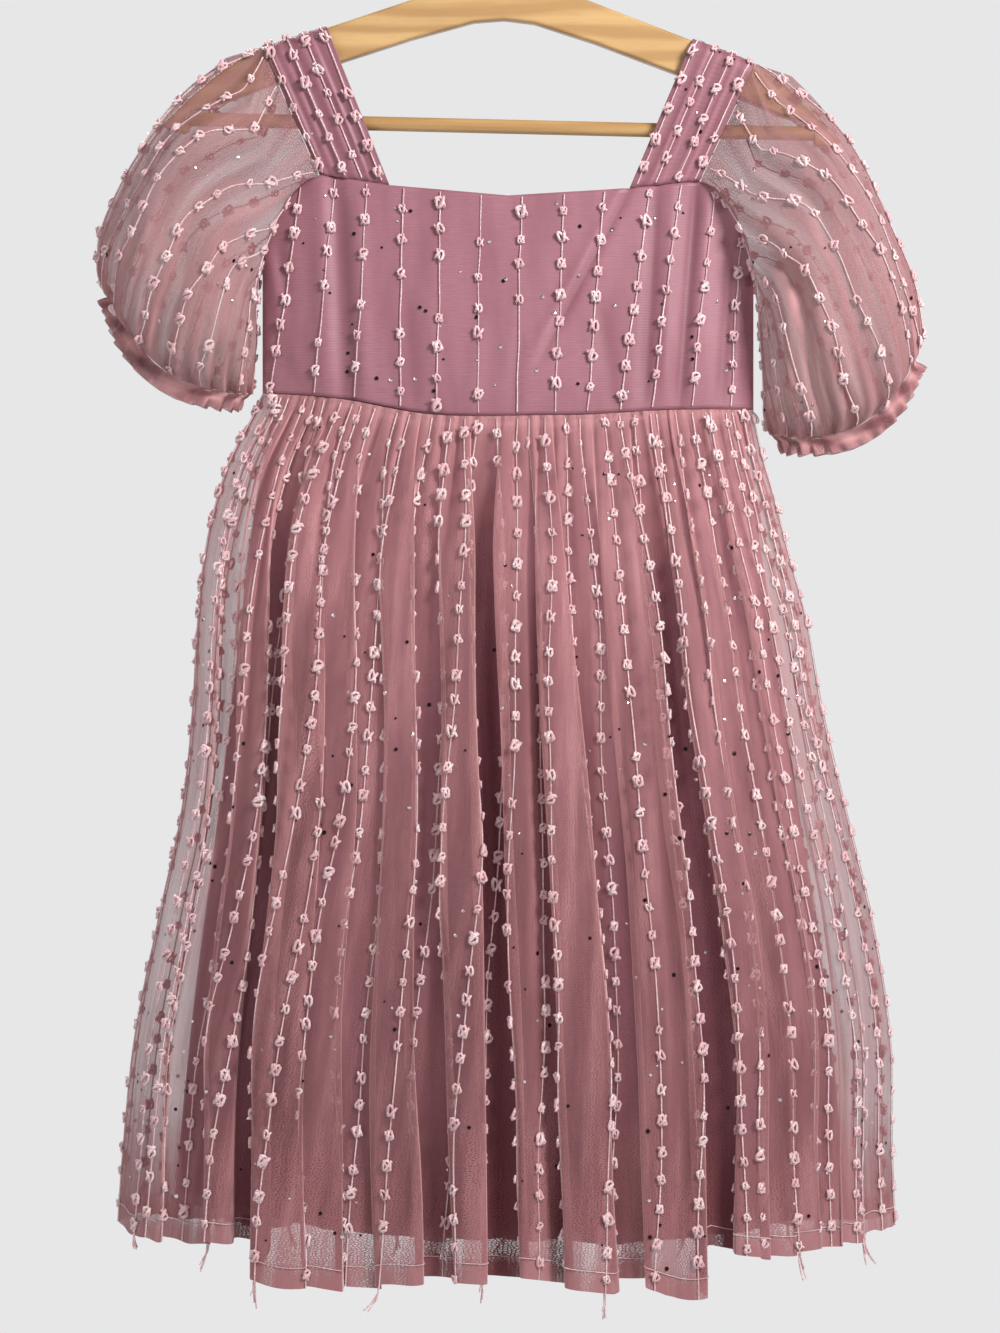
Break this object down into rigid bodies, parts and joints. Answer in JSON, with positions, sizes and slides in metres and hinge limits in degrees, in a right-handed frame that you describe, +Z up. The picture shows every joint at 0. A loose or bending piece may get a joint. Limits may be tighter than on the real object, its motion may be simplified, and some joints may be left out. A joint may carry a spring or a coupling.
{
  "type": "party dress on a hanger",
  "caption": "Short puff-sleeved party dress with a square neck, a gathered net skirt over a satin lining, hung on a wooden hanger with a wire hook.",
  "frame": {"origin": "inside top of the hanger's hook, where a rail carries it", "axes": "+Z up, +X to the right of the dress's front as seen, front faces -Y"},
  "size_m": [0.5419, 0.183, 0.9377],
  "materials": {
    "bodice_satin": "dusty rose satin under fine net, embroidered with knotted yarn strings",
    "sleeve_net": "sheer rose net with knotted yarn strings and scattered sequins",
    "cuff_net": "gathered rose net over narrow elastic",
    "skirt_net": "sheer rose net with knotted yarn strings, stitched hem",
    "lining_satin": "dusty rose satin lining, soft sheen",
    "zip_metal": "rose enamelled zip slider and pull",
    "hanger_wood": "pale varnished wood",
    "hook_steel": "bright plated steel wire"
  },
  "bodies": {
    "dress": {"bodice_front": "bodice_satin", "bodice_back": "bodice_satin", "strap_left": "bodice_satin", "strap_right": "bodice_satin", "sleeve_left": "sleeve_net", "sleeve_right": "sleeve_net", "cuff_left": "cuff_net", "cuff_right": "cuff_net", "skirt_front": "skirt_net", "skirt_back": "skirt_net", "lining_front": "lining_satin", "lining_back": "lining_satin", "zip_slider": "zip_metal", "hanger_arms": "hanger_wood", "hanger_bar": "hanger_wood", "hanger_hook": "hook_steel"},
    "pull_tab": {"zip_pull": "zip_metal"}
  },
  "joints": [
    {"name": "zip_pull_hinge", "type": "hinge", "parent": "dress", "child": "pull_tab", "pos_m": [0, 0.01774, -0.2394], "axis": [1, 0, 0], "range_deg": [0, 120]}
  ]
}
